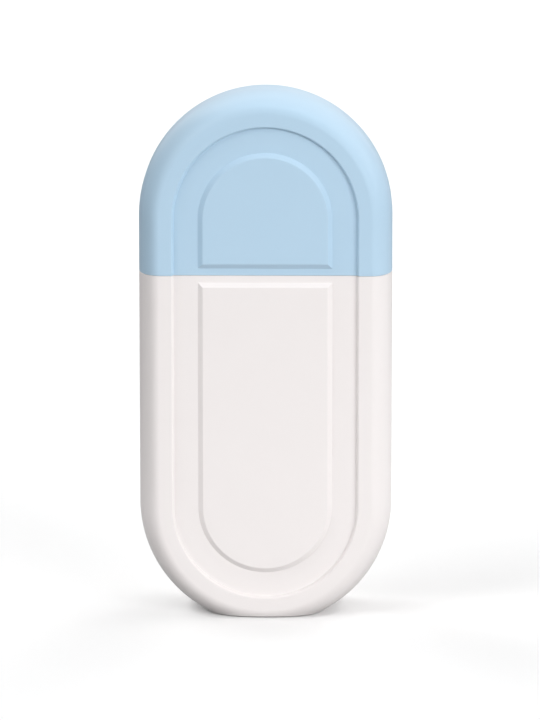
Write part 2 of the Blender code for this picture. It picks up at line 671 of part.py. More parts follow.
def make_actuator():
    """Press button: dished top, solid block with the stem's socket, thin skirt and the nozzle's pocket."""
    corner = ACTUATOR_TOP_ROUND * ROUND_CORNER_SHARE
    socket = STEM_RADIUS + FIT_GAP
    profile = dish_profile() + [
        (ACTUATOR_RADIUS - ACTUATOR_TOP_ROUND, ACTUATOR_TOP_Z),
        (ACTUATOR_RADIUS - corner, ACTUATOR_TOP_Z - corner),
        (ACTUATOR_RADIUS, ACTUATOR_TOP_Z - ACTUATOR_TOP_ROUND), (ACTUATOR_RADIUS, ACTUATOR_FOOT_Z),
        (ACTUATOR_INNER, ACTUATOR_FOOT_Z), (ACTUATOR_INNER, BLOCK_Z), (socket, BLOCK_Z), (socket, SOCKET_TOP_Z),
        (0, SOCKET_TOP_Z)]
    actuator = turned("actuator", profile, ACTUATOR_STEPS, pump_white())
    pocket_end = -ACTUATOR_RADIUS + NOZZLE_SETBACK + NOZZLE_LENGTH + FIT_GAP
    pocket = rod("nozzle_pocket", NOZZLE_RADIUS + FIT_GAP, (0, -ACTUATOR_RADIUS - OVERRUN, NOZZLE_Z),
                 (0, pocket_end, NOZZLE_Z))
    boolean(actuator, pocket, 'DIFFERENCE')
    delivery = rod("delivery_way", DELIVERY_RADIUS, (0, pocket_end - OVERRUN, delivery_z()),
                   (0, 0, delivery_z()), SMALL_TURN_STEPS // 2)
    boolean(actuator, delivery, 'DIFFERENCE')
    return actuator


def delivery_z():
    """Height of the way from the stem's socket to the nozzle's pocket, just under the socket's roof."""
    return SOCKET_TOP_Z - DELIVERY_RADIUS - FIT_GAP


def make_nozzle_insert():
    """Cup-shaped swirl insert, turned about its own axis and laid along the front."""
    front = 0
    back = -NOZZLE_LENGTH
    cone = front - ORIFICE_CONE_DEPTH
    floor = front - NOZZLE_FACE
    profile = [(ORIFICE_CONE_RADIUS, front), (NOZZLE_RADIUS, front), (NOZZLE_RADIUS, back),
               (NOZZLE_CUP_RADIUS, back), (NOZZLE_CUP_RADIUS, floor), (ORIFICE_RADIUS, floor),
               (ORIFICE_RADIUS, cone)]
    insert = turned("nozzle_insert", profile, SMALL_TURN_STEPS, natural_plastic())
    insert.rotation_euler = (math.radians(90), 0, 0)
    insert.location = (0, -ACTUATOR_RADIUS + NOZZLE_SETBACK, NOZZLE_Z)
    return insert


for leftover in list(bpy.data.objects):
    bpy.data.objects.remove(leftover, do_unlink=True)
PARTS = new_collection("sunscreen_bottle")
CUTTERS = new_collection("cutters")

make_bottle()
make_overcap()
make_shoulder_sleeve()
make_closure()
make_gasket()
make_pump_housing()
make_dip_tube()
make_turret()
make_pump_stem()
make_piston()
make_valve_pin()
make_return_spring()
make_inlet_ball()
make_actuator()
make_nozzle_insert()
print(f"height {HEIGHT * 1000:.1f} mm, seam at {SEAM_Z * 1000:.1f} mm, ball at {ball_centre_z() * 1000:.2f} mm")
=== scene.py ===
# %% [markdown]
# # A flat sunscreen bottle under a pale overcap
# The bottle stands on its base at the origin. Its front faces -Y, its width runs along X and its
# height along Z. Everything is in metres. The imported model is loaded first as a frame: each new
# piece is made where that frame has its part, and then rides on the same moving body.

# %% Load the frame
import math

import bmesh
import bpy
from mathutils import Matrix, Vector


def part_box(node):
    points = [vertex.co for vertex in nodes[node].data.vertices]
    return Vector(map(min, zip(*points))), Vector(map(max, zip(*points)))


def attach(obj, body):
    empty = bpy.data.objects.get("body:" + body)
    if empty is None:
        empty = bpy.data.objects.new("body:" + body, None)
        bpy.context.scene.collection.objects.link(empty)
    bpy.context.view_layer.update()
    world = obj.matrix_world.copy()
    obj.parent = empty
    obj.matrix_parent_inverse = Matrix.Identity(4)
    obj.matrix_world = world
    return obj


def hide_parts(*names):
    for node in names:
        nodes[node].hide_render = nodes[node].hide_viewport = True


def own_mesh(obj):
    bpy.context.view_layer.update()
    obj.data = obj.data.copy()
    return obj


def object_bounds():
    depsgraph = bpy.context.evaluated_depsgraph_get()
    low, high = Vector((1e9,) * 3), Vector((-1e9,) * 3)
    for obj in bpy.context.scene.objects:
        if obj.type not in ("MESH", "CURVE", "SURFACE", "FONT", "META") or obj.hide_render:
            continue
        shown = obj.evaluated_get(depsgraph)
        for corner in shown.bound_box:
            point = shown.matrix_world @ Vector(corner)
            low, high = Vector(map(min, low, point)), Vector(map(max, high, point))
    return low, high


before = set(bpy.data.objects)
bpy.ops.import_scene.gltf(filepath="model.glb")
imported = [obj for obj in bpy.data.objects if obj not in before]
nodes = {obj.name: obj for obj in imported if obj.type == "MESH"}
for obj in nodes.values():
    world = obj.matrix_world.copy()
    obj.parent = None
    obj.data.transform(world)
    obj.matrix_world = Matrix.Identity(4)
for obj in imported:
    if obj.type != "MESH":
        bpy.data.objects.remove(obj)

frame_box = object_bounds()
print("parts:", sorted(nodes))
print("box in mm:", [[round(1000 * v, 1) for v in corner] for corner in frame_box])

# %% [markdown]
# ## Sizes
# The outline is a stadium: two half circles joined by straight sides, with a flat cut at the base.
# The width and the thickness are read from the frame, so the looks can't drift from it. The other
# sizes are those of the moulds: how far the big edge round runs in, where the recessed band starts
# and how deep it lies, how wide the slope of the raised panel is. The core that forms the inside is
# plainer and is set back by one even step behind the front. Three lengths serve all pieces: how far
# a cutter reaches past what it cuts, the gap between pieces that stay together, and the play of
# those that slide or turn on each other.

# %% Sizes of the form
low, high = frame_box
radius = (high.x - low.x) / 2
half_depth = (high.y - low.y) / 2
height = high.z
base_cut = 0.0034
lower_arc = radius - base_cut
upper_arc = height - radius
seam = upper_arc - 0.0141
cap_mouth = seam + 0.00006

round_width = 0.0055
round_depth = 0.0116
rim_width = 0.0086
step_run = 0.0004
recess = 0.0011
panel_inset = 0.0151
panel_slope = 0.0012
panel_margin = 0.00175
cap_wall = 0.0015
bottle_wall = 0.0014
inner_setback = 0.0009

past = 0.001
snug = 0.0001
play = 0.0003
print(f"seam at {seam * 1000:.1f} mm, arcs at {lower_arc * 1000:.1f} and {upper_arc * 1000:.1f} mm")


# %% [markdown]
# ## Small helpers
# An operator acts on everything that is selected, so each step starts from a clean selection.
# In edit mode the faces to work on are picked in code, by a rule on their place or normal.

# %% Helpers for selecting and editing
def take(obj):
    """Make obj the only selected and active object."""
    bpy.ops.object.select_all(action='DESELECT')
    obj.select_set(True)
    bpy.context.view_layer.objects.active = obj


def pick(obj, rule, kind='FACE'):
    """In edit mode, select just the faces, edges or corners of obj for which rule is true."""
    bpy.ops.mesh.select_mode(type=kind)
    bpy.ops.mesh.select_all(action='DESELECT')
    bm = bmesh.from_edit_mesh(obj.data)
    elements = bm.faces if kind == 'FACE' else bm.edges if kind == 'EDGE' else bm.verts
    for element in elements:
        if rule(element):
            element.select_set(True)
    bm.select_flush_mode()
    bmesh.update_edit_mesh(obj.data)


def apply_modifiers(obj):
    """Apply every modifier of obj, in their order."""
    take(obj)
    for modifier in list(obj.modifiers):
        bpy.ops.object.modifier_apply(modifier=modifier.name)


def combine(obj, other, operation):
    """Join other to obj, or cut it out of obj, and delete other."""
    modifier = obj.modifiers.new(other.name, 'BOOLEAN')
    modifier.object = other
    modifier.operation = operation
    modifier.solver = 'EXACT'
    apply_modifiers(obj)
    bpy.data.objects.remove(other)


def even_shading(obj, degrees=32):
    """Shade curves smooth and keep large flats flat: each normal leans to its largest face."""
    take(obj)
    bpy.ops.object.shade_smooth_by_angle(angle=math.radians(degrees))
    weighted = obj.modifiers.new("weighted", 'WEIGHTED_NORMAL')
    weighted.mode = 'FACE_AREA'
    weighted.weight = 80
    weighted.keep_sharp = True
    apply_modifiers(obj)


def finish_piece(obj, name, body, node, material, degrees=32):
    """Name a piece, shade it, give it its finish and let it stand for a node of the frame."""
    obj.name = name
    obj.data.name = name
    obj.data.materials.clear()
    obj.data.materials.append(material)
    even_shading(obj, degrees)
    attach(obj, body)
    if node:
        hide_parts(node)
    obj.data.calc_loop_triangles()
    print(f"{name}: {len(obj.data.loop_triangles)} triangles")
    return obj


# %% [markdown]
# ## Turned pieces
# Nearly all of the pump is round, so one helper turns a profile of (radius, height) points. A ring
# is added at the first point. It is extruded, lifted and sized to each next point. A profile that
# starts and ends off the axis is closed by a bridge, and an end on the axis is closed by a merge.

# %% Turning a profile
def close_on_axis(obj, ring_z, z):
    """Close the open ring at one height with a cone or a flat to a point on the axis."""
    pick(obj, lambda e: e.is_boundary and abs(e.verts[0].co.z - ring_z) < 1e-6, 'EDGE')
    bpy.ops.mesh.extrude_region_move(TRANSFORM_OT_translate={"value": (0, 0, z - ring_z)})
    bpy.ops.mesh.merge(type='CENTER')


def lathe(name, profile, steps=96):
    """Turn a profile round the Z axis; its points run top to bottom on the outer side."""
    rings = [point for point in profile if point[0] > 0]
    bpy.ops.object.select_all(action='DESELECT')
    bpy.ops.mesh.primitive_circle_add(vertices=steps, radius=rings[0][0], location=(0, 0, 0))
    obj = bpy.context.object
    obj.name = name
    bpy.ops.object.mode_set(mode='EDIT')
    bpy.ops.mesh.select_mode(type='EDGE')
    bpy.ops.mesh.select_all(action='SELECT')
    bpy.ops.transform.translate(value=(0, 0, rings[0][1]))
    for (r0, z0), (r1, z1) in zip(rings, rings[1:]):
        bpy.ops.mesh.extrude_region_move(TRANSFORM_OT_translate={"value": (0, 0, z1 - z0)})
        bpy.ops.transform.resize(value=(r1 / r0, r1 / r0, 1), center_override=(0, 0, 0))
    if profile[-1][0] == 0:
        close_on_axis(obj, rings[-1][1], profile[-1][1])
    if profile[0][0] == 0:
        close_on_axis(obj, rings[0][1], profile[0][1])
    if len(rings) == len(profile):
        pick(obj, lambda e: e.is_boundary, 'EDGE')
        bpy.ops.mesh.bridge_edge_loops()
    bpy.ops.mesh.select_all(action='SELECT')
    bpy.ops.mesh.normals_make_consistent(inside=False)
    bpy.ops.object.mode_set(mode='OBJECT')
    return obj


def rod(name, r, start, end, steps=48):
    """A plain round cutter or bar between two points of the Z axis or of a line along Y."""
    middle = (Vector(start) + Vector(end)) / 2
    along = Vector(end) - Vector(start)
    bpy.ops.object.select_all(action='DESELECT')
    bpy.ops.mesh.primitive_cylinder_add(vertices=steps, radius=r, depth=along.length,
                                        location=middle,
                                        rotation=along.to_track_quat('Z', 'Y').to_euler())
    bpy.context.object.name = name
    bpy.ops.object.transform_apply(location=True, rotation=True, scale=True)
    return bpy.context.object


# %% [markdown]
# ## Camera
# The photograph is nearly flat: the sides of the bottle stay parallel, so it was taken from far
# away with a long lens. It looks down a little, which shows in the curve of the seam at both flanks.
# The camera stands 1.2 m away, about ten degrees up, and the lens follows from the bottle's size
# in the picture, 3.93 pixels for each millimetre. The bottle stands a little off the centre.

# %% Camera
elevation = math.radians(9.6)
azimuth = math.radians(0.7)
distance = 1.2
pixels_per_metre = 3930
long_side = 720
shift_right, shift_up = 0.00104, -0.00295
middle = Vector((0, 0, height / 2))
back = Vector((math.sin(azimuth) * math.cos(elevation), -math.cos(azimuth) * math.cos(elevation),
               math.sin(elevation)))
right = Vector((math.cos(azimuth), math.sin(azimuth), 0))
up = back.cross(right)

camera_data = bpy.data.cameras.new("camera")
camera_data.sensor_width = 36
camera_data.lens = camera_data.sensor_width * pixels_per_metre * distance / long_side
camera_data.clip_start = 0.05
camera_data.clip_end = 50
camera = bpy.data.objects.new("camera", camera_data)
camera.location = middle + back * distance + right * shift_right + up * shift_up
camera.rotation_mode = 'QUATERNION'
camera.rotation_quaternion = (-back).to_track_quat('-Z', 'Y')
bpy.context.scene.collection.objects.link(camera)
bpy.context.scene.camera = camera
print(f"lens {camera_data.lens:.0f} mm")

# %% [markdown]
# ## Light and background
# A packshot studio. The key is a wide soft box low at the front, well to the right, so the left
# flank of the bottle falls off into shade. Weaker ones at both sides fill the front, and those behind
# the bottle lift its edges and leave the faint shade on the floor. Each is a sun with a wide disc, so
# the light is the same from the base to the crown. Reflections leave these lamps out, as one lamp's
# image in the plastic would be a hard spot.
# The room round it is white for the camera. What shines sees grey walls instead and one large panel
# overhead and to the right. It is brightest at its front edge and fades to the back, which gives
# the crown its even white veil with a clear inner edge.

# %% Lights
bpy.context.scene.view_settings.view_transform = 'Standard'
box_spread = 40
box_distance = 2


def soft_box(name, turn, lift, strength):
    """Soft light from one side: turn goes from the front to the right, lift from the floor up."""
    turn, lift = math.radians(turn), math.radians(lift)
    towards = Vector((math.sin(turn) * math.cos(lift), -math.cos(turn) * math.cos(lift),
                      math.sin(lift)))
    data = bpy.data.lights.new(name, 'SUN')
    data.energy = strength
    data.angle = math.radians(box_spread)
    lamp = bpy.data.objects.new(name, data)
    lamp.location = towards * box_distance
    lamp.rotation_mode = 'QUATERNION'
    lamp.rotation_quaternion = towards.to_track_quat('Z', 'Y')
    lamp.visible_glossy = False
    bpy.context.scene.collection.objects.link(lamp)
    print(f"{name}: strength {strength}")


def add_node(tree, kind, settings=None, values=None, links=None):
    """Add a node, set its settings and values, and link outputs of other nodes to its inputs."""
    node = tree.nodes.new(kind)
    for name, value in (settings or {}).items():
        setattr(node, name, value)
    for name, value in (values or {}).items():
        node.inputs[name].default_value = value
    for name, output in (links or {}).items():
        tree.links.new(output, node.inputs[name])
    return node


soft_box("key_front_right", 37, 10, 2.65)
soft_box("front_left", -30, 35, 0.4)
soft_box("side_left", -60, 35, 1.25)
soft_box("side_right", 80, 35, 0.5)
soft_box("high_back_right", 130, 60, 0.6)
soft_box("low_back_right", 150, 10, 1.95)
soft_box("back_left", -135, 35, 1.15)

world = bpy.data.worlds.new("studio")
bpy.context.scene.world = world
world.use_nodes = True
tree = world.node_tree
tree.nodes.clear()
aim = add_node(tree, 'ShaderNodeTexCoord')
axes = add_node(tree, 'ShaderNodeSeparateXYZ', links={0: aim.outputs["Generated"]})
forward = add_node(tree, 'ShaderNodeMath', {"operation": 'MULTIPLY'}, {1: -1.0},
                   {0: axes.outputs["Y"]})
arc = add_node(tree, 'ShaderNodeMath', {"operation": 'ARCTAN2'},
               links={0: axes.outputs["Z"], 1: forward.outputs[0]})
arc_fade = math.radians(4)
side_fade = 0.08
wall_level = 0.2


def soft_span(value, low, high, fade):
    """One between two limits of a value and nothing outside, with soft edges."""
    rise = add_node(tree, 'ShaderNodeMapRange', links={"Value": value},
                    values={"From Min": low - fade, "From Max": low + fade})
    fall = add_node(tree, 'ShaderNodeMapRange', links={"Value": value},
                    values={"From Min": high + fade, "From Max": high - fade})
    return add_node(tree, 'ShaderNodeMath', {"operation": 'MULTIPLY'},
                    links={0: rise.outputs[0], 1: fall.outputs[0]}).outputs[0]


def bright_panel(start, end, left, right, strength):
    """A panel of the room: from start to end degrees on the arc that runs from the front horizon
    overhead to the back one, and from left to right, where -1 and 1 are straight sideways."""
    along = soft_span(arc.outputs[0], math.radians(start), math.radians(end), arc_fade)
    across = soft_span(axes.outputs["X"], left, right, side_fade)
    shape = add_node(tree, 'ShaderNodeMath', {"operation": 'MULTIPLY'}, links={0: along, 1: across})
    return add_node(tree, 'ShaderNodeMath', {"operation": 'MULTIPLY'}, {1: strength},
                    {0: shape.outputs[0]}).outputs[0]


panels = bright_panel(67, 84, -0.5, 1.2, 2.4)
for fainter in (bright_panel(84, 144, -0.5, 1.2, 1.7), bright_panel(144, 176, -0.5, 0.5, 0.95)):
    both = add_node(tree, 'ShaderNodeMath', {"operation": 'ADD'}, links={0: panels, 1: fainter})
    panels = both.outputs[0]
walls = add_node(tree, 'ShaderNodeMath', {"operation": 'MAXIMUM'}, {1: wall_level}, {0: panels})
path = add_node(tree, 'ShaderNodeLightPath')
mirrored = add_node(tree, 'ShaderNodeMath', {"operation": 'MULTIPLY'},
                    links={0: path.outputs["Is Glossy Ray"], 1: walls.outputs[0]})
white = add_node(tree, 'ShaderNodeMath', {"operation": 'MAXIMUM'},
                 links={0: path.outputs["Is Camera Ray"], 1: path.outputs["Is Transmission Ray"]})
seen = add_node(tree, 'ShaderNodeMath', {"operation": 'MAXIMUM'},
                links={0: white.outputs[0], 1: mirrored.outputs[0]})
room = add_node(tree, 'ShaderNodeBackground', values={"Color": (1, 1, 1, 1)},
                links={"Strength": seen.outputs[0]})
add_node(tree, 'ShaderNodeOutputWorld', links={"Surface": room.outputs[0]})


# %% [markdown]
# ## Colours and finishes
# Colours are written as web codes, which hold display values. One function turns them into the
# linear values that a shader works with.

# %% Colour helper
def linear(code):
    """Linear RGBA from a web colour such as B9D4E8."""
    channels = [int(code[i:i + 2], 16) / 255 for i in (0, 2, 4)]
    return (*[c / 12.92 if c <= 0.04045 else ((c + 0.055) / 1.055) ** 2.4 for c in channels], 1)


def new_material(name):
    """A material with an empty node tree."""
    material = bpy.data.materials.new(name)
    material.use_nodes = True
    material.node_tree.nodes.clear()
    return material


# %% [markdown]
# ### Moulded polypropylene and polyethylene
# Cosmetics packs are moulded in tools whose steel is spark eroded to a fine grain. The eye sees no
# grain, only a soft satin: a wide, weak highlight. The grain is drawn here as a very low bump, its
# grains 0.12 mm wide, and a slow change of roughness over some 14 mm, as where the melt cooled
# unevenly.

# %% Satin plastic
grain_width = 0.12
patch_width = 14
gloss_swing = 0.03


def moulded_plastic(name, code, tint_code, roughness, depth=0.004, subsurface=0.0):
    """Satin plastic between two close colours, with a grain of some depth in millimetres."""
    material = new_material(name)
    tree = material.node_tree
    place = add_node(tree, 'ShaderNodeTexCoord')
    cloud = add_node(tree, 'ShaderNodeTexNoise', values={"Scale": 1000 / patch_width, "Detail": 3},
                     links={"Vector": place.outputs["Object"]})
    tone = add_node(tree, 'ShaderNodeMix', {"data_type": 'RGBA'},
                    {6: linear(code), 7: linear(tint_code)}, {0: cloud.outputs["Fac"]})
    gloss = add_node(tree, 'ShaderNodeMapRange', links={"Value": cloud.outputs["Fac"]},
                     values={"To Min": roughness - gloss_swing, "To Max": roughness + gloss_swing})
    spark = add_node(tree, 'ShaderNodeTexNoise', values={"Scale": 1000 / grain_width, "Detail": 2},
                     links={"Vector": place.outputs["Object"]})
    bump = add_node(tree, 'ShaderNodeBump', values={"Strength": 0.25, "Distance": depth / 1000},
                    links={"Height": spark.outputs["Fac"]})
    shader = add_node(tree, 'ShaderNodeBsdfPrincipled',
                      values={"IOR": 1.49, "Subsurface Weight": subsurface,
                              "Subsurface Radius": (0.0012, 0.0011, 0.001)},
                      links={"Base Color": tone.outputs[2], "Roughness": gloss.outputs[0],
                             "Normal": bump.outputs[0]})
    add_node(tree, 'ShaderNodeOutputMaterial', links={"Surface": shader.outputs[0]})
    return material


cap_plastic = moulded_plastic("satin_polypropylene_pale_blue", "B8D4E9", "BAD6EA", 0.31)
body_plastic = moulded_plastic("satin_polyethylene_warm_white", "F2EDEC", "F0EBEA", 0.33)
pump_plastic = moulded_plastic("polished_polypropylene_white", "ECEDEA", "EAEBE8", 0.28,
                               depth=0.002)
natural_plastic = moulded_plastic("natural_polypropylene", "E6E6DF", "E9E9E3", 0.35,
                                  subsurface=0.35)
seal_plastic = moulded_plastic("natural_polyethylene_seal", "E9E8E0", "EBEAE3", 0.3, subsurface=0.3)
print("plastics:", cap_plastic.name, body_plastic.name, pump_plastic.name, natural_plastic.name)

# %% [markdown]
# ### Foamed seal and spring steel
# The gasket is punched from foamed polyethylene: dull, grey and full of small closed cells of about
# 0.15 mm. The spring is drawn stainless wire with faint lines along it, and the ball is ground
# steel, which mirrors what is round it with hardly any blur.

# %% Foam and steel
def foam(name, code, cell):
    """Dull foam with cells of some width in millimetres."""
    material = new_material(name)
    tree = material.node_tree
    place = add_node(tree, 'ShaderNodeTexCoord')
    cells = add_node(tree, 'ShaderNodeTexVoronoi', values={"Scale": 1000 / cell},
                     links={"Vector": place.outputs["Object"]})
    bump = add_node(tree, 'ShaderNodeBump', values={"Strength": 0.5, "Distance": cell / 5000},
                    links={"Height": cells.outputs["Distance"]})
    shader = add_node(tree, 'ShaderNodeBsdfPrincipled', links={"Normal": bump.outputs[0]},
                      values={"Base Color": linear(code), "Roughness": 0.75})
    add_node(tree, 'ShaderNodeOutputMaterial', links={"Surface": shader.outputs[0]})
    return material


def steel(name, code, roughness, line):
    """Bare steel whose gloss changes along lines of some width in millimetres."""
    material = new_material(name)
    tree = material.node_tree
    place = add_node(tree, 'ShaderNodeTexCoord')
    lines = add_node(tree, 'ShaderNodeTexNoise', values={"Scale": 1000 / line, "Detail": 2},
                     links={"Vector": place.outputs["Object"]})
    gloss = add_node(tree, 'ShaderNodeMapRange', links={"Value": lines.outputs["Fac"]},
                     values={"To Min": roughness * 0.8, "To Max": roughness * 1.2})
    shader = add_node(tree, 'ShaderNodeBsdfPrincipled', links={"Roughness": gloss.outputs[0]},
                      values={"Base Color": linear(code), "Metallic": 1.0})
    add_node(tree, 'ShaderNodeOutputMaterial', links={"Surface": shader.outputs[0]})
    return material


seal_foam = foam("foamed_polyethylene_grey", "C4C8CA", 0.15)
spring_wire = steel("drawn_stainless_wire", "BDBEBC", 0.28, 0.1)
ball_steel = steel("ground_stainless_ball", "C6C7C6", 0.1, 0.2)
print("seal and metals:", seal_foam.name, spring_wire.name, ball_steel.name)

# %% [markdown]
# ### Floor
# A white paper sweep. Camera rays see it a little brighter than it is, so that it joins the white
# background. That glow is masked by ambient occlusion: a painted contact shade, which fades it out
# within a few millimetres of the bottle, so the real shadow stays dark where the base meets the
# paper.
# Light that the paper sends back to the bottle is weaker, from a pool of light painted into its
# colour, which falls off to the left and with the distance away from the key.

# %% Floor
below_key = (0.3, -0.1, 0)
paper = new_material("white_paper_sweep")
tree = paper.node_tree
matt = add_node(tree, 'ShaderNodeBsdfDiffuse', values={"Color": linear("F6F6F6")})
place = add_node(tree, 'ShaderNodeTexCoord')
away = add_node(tree, 'ShaderNodeVectorMath', {"operation": 'DISTANCE'}, {1: below_key},
                {0: place.outputs["Object"]})
# Painted pool of light in the paper's colour for bounced rays, brightest below the key.
painted_light_pool = add_node(tree, 'ShaderNodeMapRange', links={"Value": away.outputs["Value"]},
                values={"From Min": 0.15, "From Max": 0.6, "To Min": 0.65, "To Max": 0.12})
grey = add_node(tree, 'ShaderNodeBsdfDiffuse', links={"Color": painted_light_pool.outputs[0]})
# Painted contact shade: the camera glow is taken away where the bottle hems the paper in.
painted_contact_shade = add_node(tree, 'ShaderNodeAmbientOcclusion', {"samples": 16}, {"Distance": 0.003})
strength = add_node(tree, 'ShaderNodeMapRange', links={"Value": painted_contact_shade.outputs["AO"]},
                    values={"From Min": 0.45, "From Max": 1.0, "To Min": 0.0, "To Max": 0.11})
glow = add_node(tree, 'ShaderNodeEmission', values={"Color": (1, 1, 1, 1)},
                links={"Strength": strength.outputs[0]})
path = add_node(tree, 'ShaderNodeLightPath')
indirect = add_node(tree, 'ShaderNodeMath', {"operation": 'MAXIMUM'},
                    links={0: path.outputs["Is Diffuse Ray"], 1: path.outputs["Is Glossy Ray"]})
bounced = add_node(tree, 'ShaderNodeMixShader',
                   links={0: indirect.outputs[0], 1: matt.outputs[0], 2: grey.outputs[0]})
glowing = add_node(tree, 'ShaderNodeAddShader', links={0: matt.outputs[0], 1: glow.outputs[0]})
lit = add_node(tree, 'ShaderNodeMixShader',
               links={0: path.outputs["Is Camera Ray"], 1: bounced.outputs[0],
                      2: glowing.outputs[0]})
add_node(tree, 'ShaderNodeOutputMaterial', links={"Surface": lit.outputs[0]})

bpy.ops.object.select_all(action='DESELECT')
bpy.ops.mesh.primitive_plane_add(size=12, location=(0, 0, 0))
floor = bpy.context.object
floor.name = "paper_floor"
floor.data.materials.append(paper)
print("floor laid")

# %% [markdown]
# ## The stadium form
# Both mouldings share one outer form. It starts as a filled circle that stands upright. Its upper
# half is moved up to the upper arc centre and its lower half to the lower one, which leaves the
# straight sides between them. The face is extruded to the width of the flat side band, and then
# inset again and again, each time a little further in and out, along the profile of the edge.

# %% Profile helpers
segments = 288
inner_segments = 144
tiny = 0.000001


def soften(points, steps=5):
    """Round the corners of a profile of (in, out, corner radius) points."""
    result = []
    for i, (x, y, r) in enumerate(points):
        here = Vector((x, y))
        if not r or i in (0, len(points) - 1):
            result.append((x, y))
            continue
        before = (Vector(points[i - 1][:2]) - here).normalized()
        after = (Vector(points[i + 1][:2]) - here).normalized()
        half = before.angle(after) / 2
        start = here + before * (r / math.tan(half))
        centre = here + (before + after).normalized() * (r / math.sin(half))
        turn = start - centre
        sweep = (math.pi - 2 * half) * (1 if before.x * after.y - before.y * after.x < 0 else -1)
        for k in range(steps + 1):
            a = sweep * k / steps
            point = centre + Vector((turn.x * math.cos(a) - turn.y * math.sin(a),
                                     turn.x * math.sin(a) + turn.y * math.cos(a)))
            result.append((point.x, point.y))
    return result


def edge_round(width, depth, steps):
    """A quarter of an ellipse from the side band in to the flat front."""
    angles = [math.pi / 2 * i / steps for i in range(steps + 1)]
    return [(width * (1 - math.cos(a)), depth * math.sin(a)) for a in angles]


def follow(profile, even=True):
    """Inset the selected face along a profile of (in, out) points."""
    for (x0, y0), (x1, y1) in zip(profile, profile[1:]):
        bpy.ops.mesh.inset(thickness=max(x1 - x0, 0), depth=y1 - y0, use_even_offset=even,
                           use_boundary=True)


def stadium(name, r, count=segments):
    """A standing stadium face round both arc centres, on the plane y = 0, left in edit mode."""
    half_step = math.pi / count
    bpy.ops.object.select_all(action='DESELECT')
    bpy.ops.mesh.primitive_circle_add(vertices=count, radius=r / math.cos(half_step),
                                      fill_type='NGON', rotation=(math.radians(90), half_step, 0))
    obj = bpy.context.object
    obj.name = name
    bpy.ops.object.transform_apply(location=True, rotation=True, scale=True)
    bpy.ops.object.mode_set(mode='EDIT')
    pick(obj, lambda v: v.co.z > 0, 'VERT')
    bpy.ops.transform.translate(value=(0, 0, upper_arc))
    pick(obj, lambda v: v.co.z < r, 'VERT')
    bpy.ops.transform.translate(value=(0, 0, lower_arc))
    return obj


def profile_rise(profile):
    """How far a profile runs out from its first point."""
    return max(y for x, y in profile) - profile[0][1]


def flat_form(name, r, depth, profile, count=segments):
    """A closed flat form: the stadium grown to both sides and inset along the profile."""
    obj = stadium(name, r, count)
    side = depth - profile_rise(profile)
    bpy.ops.mesh.select_mode(type='FACE')
    bpy.ops.mesh.select_all(action='SELECT')
    bpy.ops.transform.translate(value=(0, side, 0))
    bpy.ops.mesh.extrude_region_move(TRANSFORM_OT_translate={"value": (0, -2 * side, 0)})
    bpy.ops.mesh.select_all(action='SELECT')
    bpy.ops.mesh.normals_make_consistent(inside=False)
    for end in (-1, 1):
        pick(obj, lambda f: f.normal.y * end > 0.9)
        follow(profile)
    bpy.ops.object.mode_set(mode='OBJECT')
    return obj


def inner_form(name, offset):
    """The plainer form of an inside, drawn in by an offset from the outside on every side."""
    profile = edge_round(round_width, round_depth - offset - inner_setback, 10)
    return flat_form(name, radius - offset, half_depth - inner_setback - offset, profile,
                     inner_segments)


def keep_between(obj, bottom, top):
    """Cut the form flat at one or two heights and close the cuts."""
    take(obj)
    bpy.ops.object.mode_set(mode='EDIT')
    for z, inner in ((bottom, True), (top, False)):
        if z is None:
            continue
        bpy.ops.mesh.select_all(action='SELECT')
        bpy.ops.mesh.bisect(plane_co=(0, 0, z), plane_no=(0, 0, 1), use_fill=True,
                            clear_inner=inner, clear_outer=not inner, threshold=tiny)
    bpy.ops.object.mode_set(mode='OBJECT')


def round_cut(obj, z, facing, inward, outward, steps=8):
    """Round the edge of a flat cut a little: the cut face is inset on, outwards, along an arc."""
    take(obj)
    bpy.ops.object.mode_set(mode='EDIT')
    pick(obj, lambda f: f.normal.z * facing > 0.99 and abs(f.calc_center_median().z - z) < 0.00001)
    bpy.ops.mesh.remove_doubles(threshold=0.00005)
    follow(edge_round(inward, outward, steps), even=False)
    bpy.ops.object.mode_set(mode='OBJECT')


rim_edge_radius = 0.00045
band_corner_radius = 0.00022
band_strip = 0.001
big_round = edge_round(round_width, round_depth, 20)
step_edge = soften([(big_round[-1][0], big_round[-1][1], 0),
                    (rim_width, round_depth, rim_edge_radius),
                    (rim_width + step_run, round_depth - recess, band_corner_radius),
                    (rim_width + step_run + band_strip, round_depth - recess, 0)])
outer_profile = big_round + step_edge[1:]
print("outer profile:", len(outer_profile), "points")


# %% [markdown]
# ## Raised panels
# On the recessed floor stands a slab with sloped sides: an arch on the cap, a long tongue on the
# bottle. Its outline is the same stadium, drawn in, and cut straight beside the seam. The slope is
# cut with the mitred corners of a milled mould, and only its upper edge has a small round.

# %% Panel maker
panel_edge_radius = 0.0005
panel_strip = 0.002


def panel_pair(name, bottom, top):
    """The front and the back slab of one moulding."""
    pair = []
    floor_depth = half_depth - recess
    slope = soften([(0, 0, 0), (panel_slope, recess, panel_edge_radius),
                    (panel_slope + panel_strip, recess, 0)], 4)
    for end in (-1, 1):
        slab = stadium(name, radius - panel_inset)
        bpy.ops.mesh.select_mode(type='FACE')
        for z, inner in ((bottom, True), (top, False)):
            if z is not None:
                bpy.ops.mesh.select_all(action='SELECT')
                bpy.ops.mesh.bisect(plane_co=(0, 0, z), plane_no=(0, 0, 1), use_fill=False,
                                    clear_inner=inner, clear_outer=not inner, threshold=tiny)
        bpy.ops.mesh.select_all(action='SELECT')
        bpy.ops.transform.translate(value=(0, end * (floor_depth - recess), 0))
        bpy.ops.mesh.extrude_region_move(TRANSFORM_OT_translate={"value": (0, end * recess, 0)})
        bpy.ops.mesh.select_all(action='SELECT')
        bpy.ops.mesh.normals_make_consistent(inside=False)
        pick(slab, lambda f: f.normal.y * end > 0.9)
        follow(slope)
        bpy.ops.object.mode_set(mode='OBJECT')
        pair.append(slab)
    return pair


